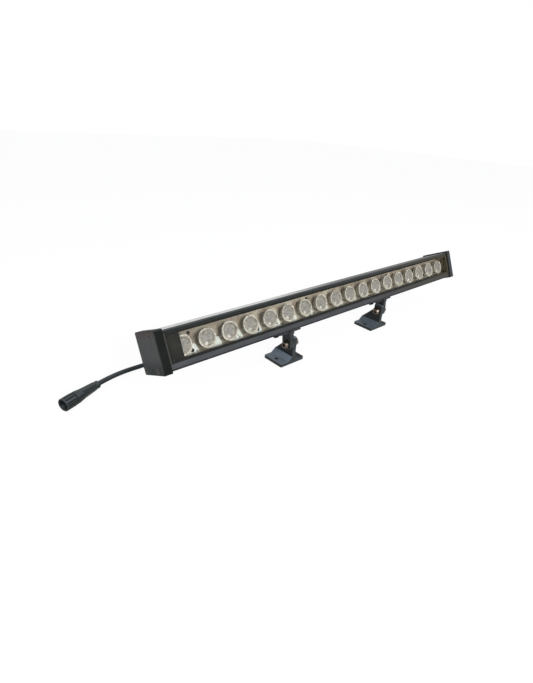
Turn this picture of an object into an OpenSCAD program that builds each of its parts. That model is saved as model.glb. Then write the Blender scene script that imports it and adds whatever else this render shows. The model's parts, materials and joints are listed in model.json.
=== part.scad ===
// Linear outdoor wall washer light: an extruded aluminium bar with a row of lenses,
// held above the ground by two tilting feet that slide along a slot under the bar.
// Millimetres. X runs along the bar, the light shines towards -Y and upwards, Z is up.
// The origin is on the ground, below the middle of the lamp.

/* [Light row] */
// Number of lights in the row
led_count = 18; // [8:1:30]
// Distance from one light to the next
led_pitch = 26; // [24:0.5:36]
// From the outer half pitch to the end of the bar
end_margin = 14.4; // [14:0.1:30]
// Tilt of the light upwards from level
lamp_tilt = 25; // [10:1:40]

/* [Housing] */
// Height of the extrusion
housing_h = 37; // [36:0.5:44]
// Depth of the extrusion
housing_d = 37; // [36:0.5:44]
// Height of the front above the window
top_lip_h = 5.8; // [5:0.1:7]
// Thickness of the floor over the mounting slot
floor_t = 2.8; // [2:0.1:4]
// How far the glass lies behind the front rims
glass_inset = 1.6; // [1.2:0.1:2.4]
// How far the front rims slope back towards the window
rim_slope = 1; // [0.4:0.1:1.2]
// Thickness of the ledges behind the glass
ledge_t = 1.5; // [1:0.1:2]
// Thickness of the top wall
wall_t = 2.2; // [1.6:0.1:2.6]
// Thickness of the rear wall
rear_wall = 3.6; // [3:0.1:5]
// Thickness of the web that carries the light board
web_t = 2.9; // [2:0.1:4]
// Radius of the front edges
front_round = 1.5; // [0.8:0.1:2]
// Radius of the rear edges
rear_round = 3; // [1:0.1:4]

/* [Mounting slot and cooling grooves] */
// Width of the slot's mouth under the bar
slot_mouth = 5.2; // [4.8:0.1:6]
// Width of the slot inside
slot_w = 10.4; // [9:0.1:12]
// Height of the slot inside
slot_h = 3.4; // [3:0.1:4]
// Thickness of the lips at the slot's mouth
slot_lip = 2; // [1.5:0.1:2.5]
// Number of cooling grooves in the rear wall
groove_count = 6; // [2:1:7]
// Width of a cooling groove
groove_w = 2; // [1:0.1:2.6]
// Depth of a cooling groove
groove_depth = 1.2; // [0.5:0.1:1.8]
// Distance from one cooling groove to the next
groove_pitch = 4; // [3:0.1:4.4]

/* [Glass, board and lenses] */
// Thickness of the front glass
glass_t = 4; // [3:0.1:4.5]
// How far the glass reaches over each ledge
glass_hold = 1.8; // [1.2:0.1:2]
// Width of the sealing bead round the window
bead_w = 2.2; // [2.1:0.1:2.8]
// Thickness of the light board
board_t = 1.6; // [1:0.1:2]
// Thickness of the thermal pad
pad_t = 0.5; // [0.3:0.1:1]
// Gap from a lens's rim to the window's lower edge, and to the line halfway to the next lens
lens_edge_gap = 0.8; // [0.5:0.1:3]
// Height of a lens from the board to its rim
lens_h = 9.8; // [8:0.1:11]
// Diameter of a lens at its base
lens_base_d = 9; // [8:0.1:11]
// Width of the dark blank at the cable end of the window
mask_w = 15.7; // [6:0.1:18]
// Thickness of the blank
mask_t = 0.4; // [0.2:0.1:0.4]

/* [End caps] */
// Thickness of an end plate
cap_plate = 4; // [3:0.1:6]
// How far the cap's skirt reaches over the housing
cap_skirt = 4; // [2:0.1:6]
// Thickness of the skirt round the housing
cap_wall = 1.5; // [1.2:0.1:2.5]
// Radius of the cap's long edges
cap_round = 1.2; // [0.5:0.1:2]
// Thickness of the end gasket
gasket_t = 1; // [0.5:0.1:2]

/* [Feet and upper brackets] */
// Place of the left bracket along the bar
left_bracket_x = -94.4; // [-180:0.1:-60]
// Place of the right bracket along the bar
right_bracket_x = 75.4; // [50:0.1:150]
// Width of a foot plate along the bar
foot_w = 34.4; // [32:0.1:44]
// Depth of a foot plate
foot_d = 27.8; // [24:0.1:36]
// Thickness of a foot plate
foot_t = 3.5; // [2.5:0.1:5]
// From the front edge of the foot to the pivot
foot_front = 6.4; // [6:0.1:9]
// Height of the pivot above the ground
pivot_h = 22.5; // [20:0.1:30]
// Thickness of the upright web of a foot
foot_web_t = 4.5; // [3:0.1:5]
// How far the middle of the plate lies from the middle of the web, towards the cable end
foot_shift = 1.2; // [0:0.1:1.8]
// Height of the web above the pivot
foot_web_top = 8.8; // [7:0.1:9.2]
// Distance between the two screw holes of a foot
foot_hole_pitch = 24; // [23:0.1:28]
// Diameter of the screw holes of a foot
foot_hole_d = 4.5; // [3.5:0.1:5]
// Length of the upper bracket's flange along the bar
flange_w = 30; // [29:0.5:34]
// Depth of the upper bracket's flange
flange_d = 26; // [20:0.5:30]
// Thickness of the upper bracket's flange
flange_t = 2.3; // [2:0.1:3]
// Thickness of the upper bracket's tab
tab_t = 4.5; // [3:0.1:4.6]
// Width of the upper bracket's tab
tab_w = 13; // [12:0.1:15]
// Lean of the tab backwards from square to the bar
tab_lean = 20; // [0:1:25]
// Pivot behind the middle plane of the slot, towards the back
pivot_back = -4; // [-6:0.1:4]
// Pivot below the underside of the housing
pivot_drop = 14.7; // [14.6:0.1:20]
// Radius of the fillets between the tab and the flange
tab_fillet_r = 1.6; // [0.5:0.1:1.7]

/* [Fasteners] */
// Diameter of the pivot bolt
bolt_d = 5; // [4:0.1:5]
// Diameter of the pivot bolt's head
bolt_head_d = 9.2; // [8:0.1:10]
// Height of the pivot bolt's head
bolt_head_h = 2.8; // [2:0.1:4]
// Width of the pivot nut across its flats
nut_flats = 8; // [7.5:0.1:9]
// Height of the pivot nut
nut_h = 4; // [3:0.1:5]
// Diameter of the washers
washer_d = 11; // [9.2:0.1:11.5]
// Thickness of a washer
washer_t = 1.2; // [0.5:0.1:1.5]
// Diameter of the slot screws
slot_screw_d = 4; // [3:0.1:4.2]
// Diameter of the cap screws
cap_screw_d = 3; // [2.5:0.1:3]
// Diameter of the cap screws' heads
cap_screw_head_d = 5.6; // [5:0.1:5.8]
// Length of the cap screws
cap_screw_l = 14; // [10:0.5:20]

/* [Driver] */
// Length of the driver board
driver_l = 190; // [100:1:200]
// Thickness of the driver board
driver_t = 1.6; // [1:0.1:2]

/* [Cable and connector] */
// Diameter of the cable
cable_d = 4.8; // [4:0.1:5.4]
// Place of the cable gland along the bar
gland_x = -120; // [-130:1:-110]
// Diameter of the gland's thread
gland_thread_d = 12; // [10:0.1:12]
// Width of the gland's flats
gland_flats = 15; // [14:0.1:16]
// Length of the gland's tapered boot
boot_l = 12; // [10:0.5:20]
// Diameter of the connector's coupling nut over its ribs
connector_nut_d = 12.4; // [12:0.1:15]
// Length of the coupling nut
connector_nut_l = 11.5; // [11:0.5:16]
// Length of the connector's grip behind the coupling nut
connector_grip_l = 24.5; // [18:0.5:30]
// Length of the connector's collar round the cable
connector_tail_l = 4; // [3:0.5:8]

/* [Fits] */
// Gap between flat faces that slide on each other
face_gap = 0.1; // [0.05:0.01:0.15]
// Radial gap of a turning fit
turn_gap = 0.06; // [0.03:0.01:0.1]
// Gap round pieces that are pushed in by hand
push_gap = 0.2; // [0.1:0.05:0.3]

/* [Hidden] */
lens_names = [for (i = [1:led_count]) str("lens_", i < 10 ? "0" : "", i)];

// Overrun of every cut through a face
cut = 1;
round_fn = 48;
groove_fn = 16;
cable_sides = 10;

// Along the bar
bar_l = led_count * led_pitch + 2 * end_margin;
housing_l = bar_l - 2 * (cap_plate + gasket_t);
window_end = 10.2;
window_l = bar_l - 2 * window_end;
first_led_x = -(led_count - 1) * led_pitch / 2;

// Across the bar, where y is 0 at the front rims and z is 0 at the row of lights. The window's
// lower edge is level with the floor over the slot, and its upper edge follows the front above it.
floor_inside = -housing_h / 2 + slot_lip + slot_h + floor_t;
roof_inside = housing_h / 2 - wall_t;
window_low = floor_inside;
window_high = housing_h / 2 - top_lip_h;
window_mid = (window_low + window_high) / 2;
window_h = window_high - window_low;
rim_low = window_low - bead_w;
rim_high = window_high + bead_w;
glass_play = 0.1;
glass_front = glass_inset + glass_play;
glass_back = glass_front + glass_t;
ledge_front = glass_back + glass_play;
chamber_front = ledge_front + ledge_t;
lens_front = glass_back + mask_t + glass_play;
board_front = lens_front + lens_h;
web_front = board_front + board_t + pad_t;
web_back = web_front + web_t;
rear_inside = housing_d - rear_wall;
slot_y = housing_d / 2;

// A lens fills the room between the window's lower edge and its neighbours
lens_room = min(led_pitch / 2, -window_low);
lens_d = 2 * (lens_room - lens_edge_gap);

// Screw ports for the end caps, run through the whole extrusion. The front ones stand halfway
// between the ledges and the slot.
port_r = cap_screw_d / 2 + wall_t / 2;
port_skin = 0.4;
port_front_y = (chamber_front + slot_y - slot_w / 2) / 2;
port_rear_y = housing_d - port_r - port_skin;
port_z = housing_h / 2 - port_r - port_skin;
port_places = [for (y = [port_front_y, port_rear_y], z = [-port_z, port_z]) [y, z]];

// The pivot, in the bar's own frame and above the ground
pivot_y = slot_y + pivot_back;
pivot_z = -housing_h / 2 - pivot_drop;

// The lamp's reach in front of and behind the pivot once it is tilted
cap_front = -cap_wall;
cap_back = housing_d + cap_wall;
cap_top = housing_h / 2 + cap_wall;
reach_back = (cap_back - cap_round - pivot_y) * cos(lamp_tilt)
    + (cap_top - cap_round - pivot_z) * sin(lamp_tilt) + cap_round;
reach_front = (cap_front + cap_round - pivot_y) * cos(lamp_tilt)
    + (-cap_top + cap_round - pivot_z) * sin(lamp_tilt) - cap_round;
reach_foot = -foot_front;
pivot_ground_y = -(reach_back + min(reach_front, reach_foot)) / 2;

// From the bar's frame to the ground's frame
function bar_to_ground(p) = [
    p[0],
    pivot_ground_y + (p[1] - pivot_y) * cos(lamp_tilt) + (p[2] - pivot_z) * sin(lamp_tilt),
    pivot_h - (p[1] - pivot_y) * sin(lamp_tilt) + (p[2] - pivot_z) * cos(lamp_tilt)];

module in_bar() {
    translate([0, pivot_ground_y, pivot_h])
        rotate([-lamp_tilt, 0, 0])
            translate([0, -pivot_y, -pivot_z])
                children();
}

// A profile drawn in y and z, run along x from the start over the length
module run_x(start, length) {
    translate([start, 0, 0])
        rotate([90, 0, 90])
            linear_extrude(length)
                children();
}

// A shape drawn along z, turned to point along +x or along +y
module point_x() {
    rotate([0, 90, 0]) children();
}

module point_back() {
    rotate([-90, 0, 0]) children();
}

module box_yz(y0, y1, z0, z1) {
    translate([y0, z0]) square([y1 - y0, z1 - z0]);
}

// A rectangle with round corners whose radii differ between the low-y and the high-y side
module round_box_yz(y0, y1, z0, z1, r_low, r_high) {
    box_yz(y0 + r_low, y1 - r_high, z0, z1);
    box_yz(y0, y0 + r_low, z0 + r_low, z1 - r_low);
    box_yz(y1 - r_high, y1, z0 + r_high, z1 - r_high);
    for (z = [z0 + r_low, z1 - r_low]) translate([y0 + r_low, z]) circle(r_low, $fn = round_fn);
    for (z = [z0 + r_high, z1 - r_high]) translate([y1 - r_high, z]) circle(r_high, $fn = round_fn);
}

// Housing: one extrusion with sloped front rims, ledges for the glass, a web, screw ports, a slot
// and cooling grooves
chamber_step_y = slot_y + slot_w / 2 + 2 * wall_t;
driver_gap_share = 0.25;
driver_y = web_back + driver_gap_share * (rear_inside - web_back);
driver_edge = 1;
link_hole_d = 5;
link_hole_x = -80;
spot_margin = 2;
spot_d = gland_flats + 2 * spot_margin;

module outline_yz() {
    round_box_yz(0, housing_d, -housing_h / 2, housing_h / 2, front_round, rear_round);
}

module hollows_yz() {
    box_yz(-cut, ledge_front, rim_low, rim_high);
    box_yz(ledge_front - cut, chamber_front + cut, window_low, window_high);
    box_yz(chamber_front, web_front, floor_inside, roof_inside);
    box_yz(web_back, rear_inside, floor_inside, roof_inside);
    box_yz(chamber_step_y, rear_inside, -roof_inside, floor_inside + cut);
    box_yz(driver_y - push_gap / 2, driver_y + driver_t + push_gap / 2,
        floor_inside - driver_edge, roof_inside + driver_edge);
}

// What the slopes of the two front rims take off, from the front edges' rounds to the window
module rim_slopes_yz() {
    round_end = housing_h / 2 - front_round;
    for (rim = [[-round_end, rim_low], [round_end, rim_high]])
        polygon([[0, rim[0]], [rim_slope, rim[1]], [-cut, rim[1]], [-cut, rim[0]]]);
}

module slot_yz() {
    bottom = -housing_h / 2;
    box_yz(slot_y - slot_mouth / 2, slot_y + slot_mouth / 2, bottom - cut, bottom + slot_lip + cut);
    box_yz(slot_y - slot_w / 2, slot_y + slot_w / 2, bottom + slot_lip, bottom + slot_lip + slot_h);
}

module cooling_grooves_yz() {
    for (i = [0:groove_count - 1])
        translate([housing_d - groove_depth, (i - (groove_count - 1) / 2) * groove_pitch - groove_w / 2])
            square([groove_depth + cut, groove_w]);
}

module housing_yz() {
    difference() {
        outline_yz();
        difference() {
            hollows_yz();
            for (p = port_places) translate(p) circle(port_r, $fn = round_fn);
        }
        for (p = port_places) translate(p) circle(cap_screw_d / 2 + turn_gap, $fn = round_fn);
        rim_slopes_yz();
        slot_yz();
        cooling_grooves_yz();
    }
}

module housing() {
    color([0.18, 0.19, 0.2])
    in_bar()
    difference() {
        run_x(-housing_l / 2, housing_l) housing_yz();
        translate([gland_x, housing_d - groove_depth, gland_z])
            point_back()
                cylinder(d = spot_d, h = groove_depth + cut, $fn = round_fn);
        translate([gland_x, rear_inside - cut, gland_z])
            point_back()
                cylinder(d = gland_thread_d + 2 * turn_gap, h = rear_wall + 2 * cut, $fn = round_fn);
        translate([link_hole_x, web_front - cut, 0])
            point_back()
                cylinder(d = link_hole_d, h = web_t + 2 * cut, $fn = round_fn);
        for (x = board_screw_places, z = board_screw_rows)
            translate([x, web_front - cut, z])
                point_back()
                    cylinder(d = board_screw_d + 2 * turn_gap, h = web_t + 2 * cut, $fn = round_fn);
    }
}

// Front glass, laid on the ledges from the front, and the sealing bead round it. The bead is level
// with the rims' inner edges, and along the rims it thins towards the window.
glass_l = window_l;
bead_cove_share = 0.55;
bead_edge_y = rim_slope + bead_cove_share * (glass_front - rim_slope);

module front_glass() {
    color([0.75, 0.82, 0.84, 0.35])
    in_bar()
    run_x(-glass_l / 2, glass_l)
        box_yz(glass_front, glass_back, window_low - glass_hold, window_high + glass_hold);
}

module bead_yz(edge, rim) {
    polygon([[glass_front, edge], [glass_front, rim], [rim_slope, rim], [bead_edge_y, edge]]);
}

module glass_seals() {
    color([0.12, 0.12, 0.12])
    in_bar() {
        run_x(-glass_l / 2, glass_l) {
            bead_yz(window_low, rim_low + face_gap);
            bead_yz(window_high, rim_high - face_gap);
        }
        for (x = [-glass_l / 2, glass_l / 2 - bead_w])
            run_x(x, bead_w)
                box_yz(rim_slope, glass_front, rim_low + face_gap, rim_high - face_gap);
    }
}

module window_blank() {
    color([0.13, 0.12, 0.1])
    in_bar()
    run_x(-window_l / 2, mask_w)
        box_yz(glass_back, glass_back + mask_t, floor_inside + push_gap, window_high - push_gap);
}

// End caps: a plate with a skirt over the housing, and a plug between the front rims
screw_sink = 1.6;
plug_l = window_end - cap_plate - gasket_t;

module cap_yz(inset) {
    round_box_yz(cap_front + inset, cap_back - inset, -cap_top + inset, cap_top - inset,
        cap_round, cap_round);
}

module skirt_hole_yz() {
    round_box_yz(-push_gap, housing_d + push_gap, -housing_h / 2 - push_gap, housing_h / 2 + push_gap,
        front_round, rear_round);
}

// The plug is level with the rims' inner edges and ends where the glass starts
module plug_yz() {
    box_yz(rim_slope, glass_back - push_gap, rim_low + push_gap, rim_high - push_gap);
}

edge_chamfer = 0.5;

module end_cap() {
    difference() {
        union() {
            run_x(-bar_l / 2 + edge_chamfer, cap_plate + cap_skirt - edge_chamfer) cap_yz(0);
            run_x(-bar_l / 2, edge_chamfer + cut) cap_yz(edge_chamfer);
        }
        run_x(-bar_l / 2 + cap_plate, cap_skirt + cut) skirt_hole_yz();
        for (p = port_places)
            translate([-bar_l / 2 - cut, p[0], p[1]])
                point_x()
                    cylinder(d = cap_screw_d + 2 * turn_gap, h = cap_plate + 2 * cut, $fn = round_fn);
        for (p = port_places)
            translate([-bar_l / 2, p[0], p[1]])
                point_x()
                    cylinder(d1 = cap_screw_head_d + 2 * turn_gap, d2 = cap_screw_d + 2 * turn_gap,
                        h = screw_sink, $fn = round_fn);
    }
    run_x(-bar_l / 2 + cap_plate - cut, gasket_t + plug_l + cut) plug_yz();
}

module end_cap_left() {
    color([0.3, 0.3, 0.31]) in_bar() end_cap();
}

module end_cap_right() {
    color([0.3, 0.3, 0.31]) in_bar() mirror([1, 0, 0]) end_cap();
}

gasket_inset = 0.8;

module end_gasket() {
    run_x(-bar_l / 2 + cap_plate, gasket_t)
        difference() {
            round_box_yz(gasket_inset, housing_d - gasket_inset, -housing_h / 2 + gasket_inset,
                housing_h / 2 - gasket_inset, front_round, rear_round);
            box_yz(-cut, glass_back, rim_low, rim_high);
            for (p = port_places) translate(p) circle(cap_screw_d / 2 + push_gap, $fn = round_fn);
        }
}

module end_gasket_left() {
    color([0.08, 0.08, 0.08]) in_bar() end_gasket();
}

module end_gasket_right() {
    color([0.08, 0.08, 0.08]) in_bar() mirror([1, 0, 0]) end_gasket();
}

// Hexagonal socket, cut down from z = 0
module hex_socket(flats, depth) {
    translate([0, 0, -depth])
        cylinder(d = flats / cos(30), h = depth + cut, $fn = 6);
}

socket_share = 0.55;

// Countersunk screw with the face of its head at z = 0 and its shank downwards
module sunk_screw(d, head_d, length) {
    difference() {
        union() {
            translate([0, 0, -screw_sink]) cylinder(d1 = d, d2 = head_d, h = screw_sink, $fn = round_fn);
            translate([0, 0, -length]) cylinder(d = d, h = length - screw_sink, $fn = round_fn);
        }
        hex_socket(d * socket_share, screw_sink * socket_share);
    }
}

// Round-headed screw: the head stands on z = 0 and the shank runs downwards
dome_share = 0.7;

module dome_screw(d, head_d, head_h, length, socket_w) {
    difference() {
        union() {
            rotate_extrude($fn = round_fn)
                polygon([[0, 0], [head_d / 2, 0], [head_d / 2, head_h * (1 - dome_share)],
                    [head_d / 2 * dome_share, head_h], [0, head_h]]);
            translate([0, 0, -length]) cylinder(d = d, h = length, $fn = round_fn);
        }
        translate([0, 0, head_h]) hex_socket(socket_w, head_h * dome_share);
    }
}

module cap_screws() {
    for (p = port_places)
        translate([-bar_l / 2, p[0], p[1]])
            rotate([0, -90, 0])
                sunk_screw(cap_screw_d, cap_screw_head_d, cap_screw_l);
}

module cap_screws_left() {
    color([0.35, 0.34, 0.32]) in_bar() cap_screws();
}

module cap_screws_right() {
    color([0.35, 0.34, 0.32]) in_bar() mirror([1, 0, 0]) cap_screws();
}

// Light board on its thermal pad, with the chips and the lenses
board_end_gap = 1;
board_l = window_l - 2 * board_end_gap;
board_h = window_h - 2 * push_gap;
board_screw_d = 2;
board_screw_head_d = 3.6;
board_screw_head_h = 1.3;
// One pair of screws to so many lights, halfway from the first of them to the next
lights_per_pair_count = 6;
board_screw_places = [for (i = [0:lights_per_pair_count:led_count - 2])
    first_led_x + i * led_pitch + led_pitch / 2];
board_screw_low = 2.1;
board_screw_high = 4.1;
board_screw_rows = [window_low + board_screw_low, window_high - board_screw_high];

module board_holes() {
    for (x = board_screw_places, z = board_screw_rows)
        translate([x, board_front - cut, z])
            point_back()
                cylinder(d = board_screw_d + 2 * turn_gap, h = board_t + pad_t + 2 * cut, $fn = round_fn);
}

module light_board() {
    color([0.6, 0.57, 0.5])
    in_bar()
    difference() {
        run_x(-board_l / 2, board_l)
            box_yz(board_front, board_front + board_t, window_mid - board_h / 2, window_mid + board_h / 2);
        board_holes();
    }
}

module thermal_pad() {
    color([0.75, 0.76, 0.78])
    in_bar()
    difference() {
        run_x(-board_l / 2, board_l)
            box_yz(board_front + board_t, web_front, window_mid - board_h / 2, window_mid + board_h / 2);
        board_holes();
        translate([link_hole_x, board_front, 0])
            point_back()
                cylinder(d = link_hole_d, h = board_t + pad_t + cut, $fn = round_fn);
    }
}

module board_screws() {
    color([0.7, 0.7, 0.68])
    in_bar()
    for (x = board_screw_places, z = board_screw_rows)
        translate([x, board_front, z])
            rotate([90, 0, 0])
                dome_screw(board_screw_d, board_screw_head_d, board_screw_head_h,
                    board_t + pad_t + web_t, board_screw_d * socket_share);
}

chip_w = 3.5;
chip_t = 0.8;
chip_dome_r = 1.4;

module light_chips() {
    color([0.9, 0.85, 0.55])
    in_bar()
    for (i = [0:led_count - 1])
        translate([first_led_x + i * led_pitch, board_front, 0])
            rotate([90, 0, 0]) {
                translate([-chip_w / 2, -chip_w / 2, 0]) cube([chip_w, chip_w, chip_t]);
                translate([0, 0, chip_t])
                    intersection() {
                        sphere(chip_dome_r, $fn = round_fn);
                        cylinder(r = chip_dome_r, h = chip_dome_r, $fn = round_fn);
                    }
            }
}

// Lens: a cone that widens to a rim, with a dished face, a well for the chip and three legs
lens_rim_t = 1.5;
lens_rim_w = 2.1;
lens_lift = 1.2;
lens_well_r = 2.8;
lens_well_h = 3.2;
lens_dish_depth = 0.8;
lens_overhang = 0.55;
lens_profile_steps = 6;
leg_r = 0.8;
leg_count = 3;
leg_place_share = 0.38;
leg_top = 5.4;

module lens_solid() {
    r_base = lens_base_d / 2;
    r_rim = lens_d / 2;
    r_dish = r_rim - lens_rim_w;
    cone_top = lens_h - lens_rim_t;
    cone_run = r_rim - lens_overhang - r_base;
    side = [for (i = [0:lens_profile_steps])
        let (k = i / lens_profile_steps)
        [r_base + cone_run * k * (1 - k + sin(90 * k)), lens_lift + (cone_top - lens_lift) * k]];
    rotate_extrude($fn = round_fn)
        polygon(concat(
            [[0, lens_lift + lens_well_h], [lens_well_r, lens_lift + lens_well_h], [lens_well_r, lens_lift]],
            side,
            [[r_rim, cone_top], [r_rim, lens_h], [r_dish, lens_h],
             [r_dish - lens_dish_depth, lens_h - lens_dish_depth], [0, lens_h - lens_dish_depth]]));
    for (i = [0:leg_count - 1])
        rotate([0, 0, 90 + i * 360 / leg_count])
            translate([r_base + leg_place_share * (r_rim - r_base), 0, 0])
                cylinder(r = leg_r, h = leg_top, $fn = round_fn);
}

module lens(i) {
    color([0.85, 0.88, 0.88, 0.6])
    in_bar()
    translate([first_led_x + i * led_pitch, board_front, 0])
        rotate([90, 0, 0])
            lens_solid();
}

// Driver board in the two grooves of the rear chamber. It starts just past the cable gland and has
// its parts on the rear face, sized by the room between the board and the rear wall.
driver_lead = 5;
driver_start = gland_x - driver_lead;
driver_rear = driver_y + driver_t;
driver_mid_z = (floor_inside + roof_inside) / 2;
parts_room = rear_inside - driver_rear;
chamber_h = roof_inside - floor_inside;
choke_d = 9;
transformer_l = 20;
film_l = 12;
terminal_l = 9;
// Depth and height of the driver's parts, as shares of the room behind the board
choke_depth_share = 0.78;
transformer_shares = [0.9, 0.64];
capacitor_shares = [0.86, 0.6];
film_shares = [0.65, 0.3];
terminal_shares = [0.71, 0.38];
// Places of the driver's parts along the board, as shares of its length
choke_place_shares = [0.23, 0.8];
transformer_place_share = 0.52;
capacitor_place_shares = [0.36, 0.67];
film_place_shares = [0.3, 0.92];
terminal_place_share = 0.86;

module driver_board() {
    color([0.1, 0.35, 0.2])
    in_bar()
    run_x(driver_start, driver_l)
        box_yz(driver_y, driver_rear, floor_inside - driver_edge + push_gap,
            roof_inside + driver_edge - push_gap);
}

module on_driver(place_share) {
    translate([driver_start + place_share * driver_l, driver_rear, driver_mid_z]) children();
}

module driver_box(length, shares) {
    size = [length, shares[0] * parts_room, shares[1] * chamber_h];
    translate([-size[0] / 2, 0, -size[2] / 2]) cube(size);
}

module driver_can(shares) {
    can_d = shares[0] * parts_room;
    can_l = shares[1] * chamber_h;
    translate([0, can_d / 2, -can_l / 2]) cylinder(d = can_d, h = can_l, $fn = round_fn);
}

module driver_parts() {
    color([0.2, 0.2, 0.22])
    in_bar() {
        for (s = choke_place_shares)
            on_driver(s)
                point_back()
                    cylinder(d = choke_d, h = choke_depth_share * parts_room, $fn = round_fn);
        on_driver(transformer_place_share) driver_box(transformer_l, transformer_shares);
        for (s = capacitor_place_shares) on_driver(s) driver_can(capacitor_shares);
        for (s = film_place_shares) on_driver(s) driver_box(film_l, film_shares);
        on_driver(terminal_place_share)
            translate([0, 0, terminal_shares[1] * chamber_h / 2])
                driver_box(terminal_l, terminal_shares);
    }
}

wire_r = 0.7;
wire_gap = 2.6;

module wire_pair(x, z, y0, y1) {
    for (s = [-1, 1])
        translate([x + s * wire_gap / 2, y0, z])
            point_back()
                cylinder(r = wire_r, h = y1 - y0, $fn = round_fn);
}

module link_wires() {
    color([0.7, 0.15, 0.12])
    in_bar() wire_pair(link_hole_x, 0, board_front + board_t, driver_y);
}

module supply_wires() {
    color([0.55, 0.35, 0.2])
    in_bar() wire_pair(gland_x, gland_z, driver_rear, cable_start_y);
}

// Cable gland: threaded body through the rear wall, locknut inside, nut with a tapered boot outside
gland_z = -2;
gland_seat_y = housing_d - groove_depth;
gland_collar_t = 3;
gland_reach_share = 0.55;
gland_inner_y = rear_inside - gland_reach_share * parts_room;
gland_neck_d = 10.4;
gland_neck_l = 7;
gland_bore_d = 7.4;
gland_nut_l = 9;
locknut_share = 0.39;
locknut_h = locknut_share * parts_room;
seal_l = 4;
boot_end_wall = 1.3;
boot_end_d = cable_d + 2 * boot_end_wall;
gland_collar_y = gland_seat_y + gland_collar_t;
gland_exit_y = gland_collar_y + gland_nut_l + boot_l;
cable_start_y = gland_collar_y + gland_neck_l - seal_l / 2;

module hex_prism(flats, height) {
    cylinder(d = flats / cos(30), h = height, $fn = 6);
}

module gland_body() {
    color([0.1, 0.1, 0.1])
    in_bar()
    translate([gland_x, 0, gland_z])
    difference() {
        union() {
            translate([0, gland_inner_y, 0]) point_back()
                cylinder(d = gland_thread_d, h = gland_seat_y - gland_inner_y + cut, $fn = round_fn);
            translate([0, gland_seat_y, 0]) point_back() hex_prism(gland_flats, gland_collar_t);
            translate([0, gland_collar_y - cut, 0]) point_back()
                cylinder(d = gland_neck_d, h = gland_neck_l + cut, $fn = round_fn);
        }
        translate([0, gland_inner_y - cut, 0]) point_back()
            cylinder(d = gland_bore_d, h = gland_collar_y + gland_neck_l - gland_inner_y + 2 * cut,
                $fn = round_fn);
    }
}

module gland_locknut() {
    color([0.1, 0.1, 0.1])
    in_bar()
    translate([gland_x, rear_inside - locknut_h, gland_z])
        point_back()
            difference() {
                hex_prism(gland_flats, locknut_h);
                translate([0, 0, -cut])
                    cylinder(d = gland_thread_d + 2 * turn_gap, h = locknut_h + 2 * cut, $fn = round_fn);
            }
}

module gland_nut() {
    color([0.1, 0.1, 0.1])
    in_bar()
    translate([gland_x, gland_collar_y, gland_z])
        point_back()
            difference() {
                union() {
                    hex_prism(gland_flats, gland_nut_l);
                    translate([0, 0, gland_nut_l - cut])
                        cylinder(d1 = gland_neck_d, d2 = boot_end_d, h = boot_l + cut, $fn = round_fn);
                }
                translate([0, 0, -cut])
                    cylinder(d = gland_neck_d + 2 * turn_gap, h = gland_neck_l + turn_gap + cut,
                        $fn = round_fn);
                translate([0, 0, -cut])
                    cylinder(d = cable_d + 2 * turn_gap, h = gland_nut_l + boot_l + 2 * cut, $fn = round_fn);
            }
}

module gland_seal() {
    color([0.2, 0.2, 0.2])
    in_bar()
    translate([gland_x, cable_start_y - seal_l, gland_z])
        point_back()
            difference() {
                cylinder(d = gland_bore_d - 2 * turn_gap, h = seal_l, $fn = round_fn);
                for (s = [-1, 1])
                    translate([s * wire_gap / 2, 0, -cut])
                        cylinder(r = wire_r + turn_gap, h = seal_l + 2 * cut, $fn = round_fn);
            }
}

// Connector, lying on the ground, in a frame that runs along +x from its tail to its mouth
connector_tail = [-279, 47.4];
connector_turn = 202;
connector_axis_h = connector_nut_d / 2;
connector_edge = 0.4;
// The grip flares from the collar to the coupling nut, with flats along its slimmer part
collar_d = 7.6;
grip_tail_d = 8.4;
grip_waist_d = 10.2;
grip_front_d = 12;
grip_waist_share = 0.6;
grip_flare_share = 0.86;
flat_count = 6;
flat_tail_r = 3.7;
flat_front_r = 4.6;
flat_l_share = 0.66;
flat_l = flat_l_share * connector_grip_l;
// A spigot with a flange holds the coupling nut by its shoulder and carries the insert
nut_wall_t = 1.2;
nut_shoulder_t = 1.5;
nut_groove_count = 12;
nut_groove_r = 0.9;
nut_groove_depth = 0.45;
nut_band = 1.4;
mouth_d = connector_nut_d - 2 * nut_wall_t;
spigot_d = 9;
spigot_wall = 0.9;
spigot_lip = 1.4;
spigot_l = nut_shoulder_t + face_gap + spigot_lip;
insert_d = spigot_d - 2 * spigot_wall;
insert_l = 2.4;
insert_face = connector_tail_l + connector_grip_l + spigot_l;
pin_r = 0.6;
pin_reach = 3.3;
pin_ring_r = 2;
pin_count = 3;

module in_connector() {
    translate([connector_tail[0], connector_tail[1], connector_axis_h])
        rotate([0, 0, connector_turn])
            children();
}

module grip_solid() {
    grip_l = connector_grip_l - face_gap;
    lean = atan((flat_front_r - flat_tail_r) / flat_l);
    difference() {
        rotate_extrude($fn = round_fn)
            polygon([
                [0, 0], [grip_tail_d / 2 - connector_edge, 0], [grip_tail_d / 2, connector_edge],
                [grip_waist_d / 2, grip_l * grip_waist_share], [grip_front_d / 2, grip_l * grip_flare_share],
                [grip_front_d / 2, grip_l - connector_edge], [grip_front_d / 2 - connector_edge, grip_l],
                [0, grip_l]]);
        for (i = [0:flat_count - 1])
            rotate([0, 0, i * 360 / flat_count])
                translate([flat_tail_r, -grip_front_d / 2, 0])
                    rotate([0, lean, 0])
                        cube([grip_front_d, grip_front_d, flat_l]);
    }
}

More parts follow.
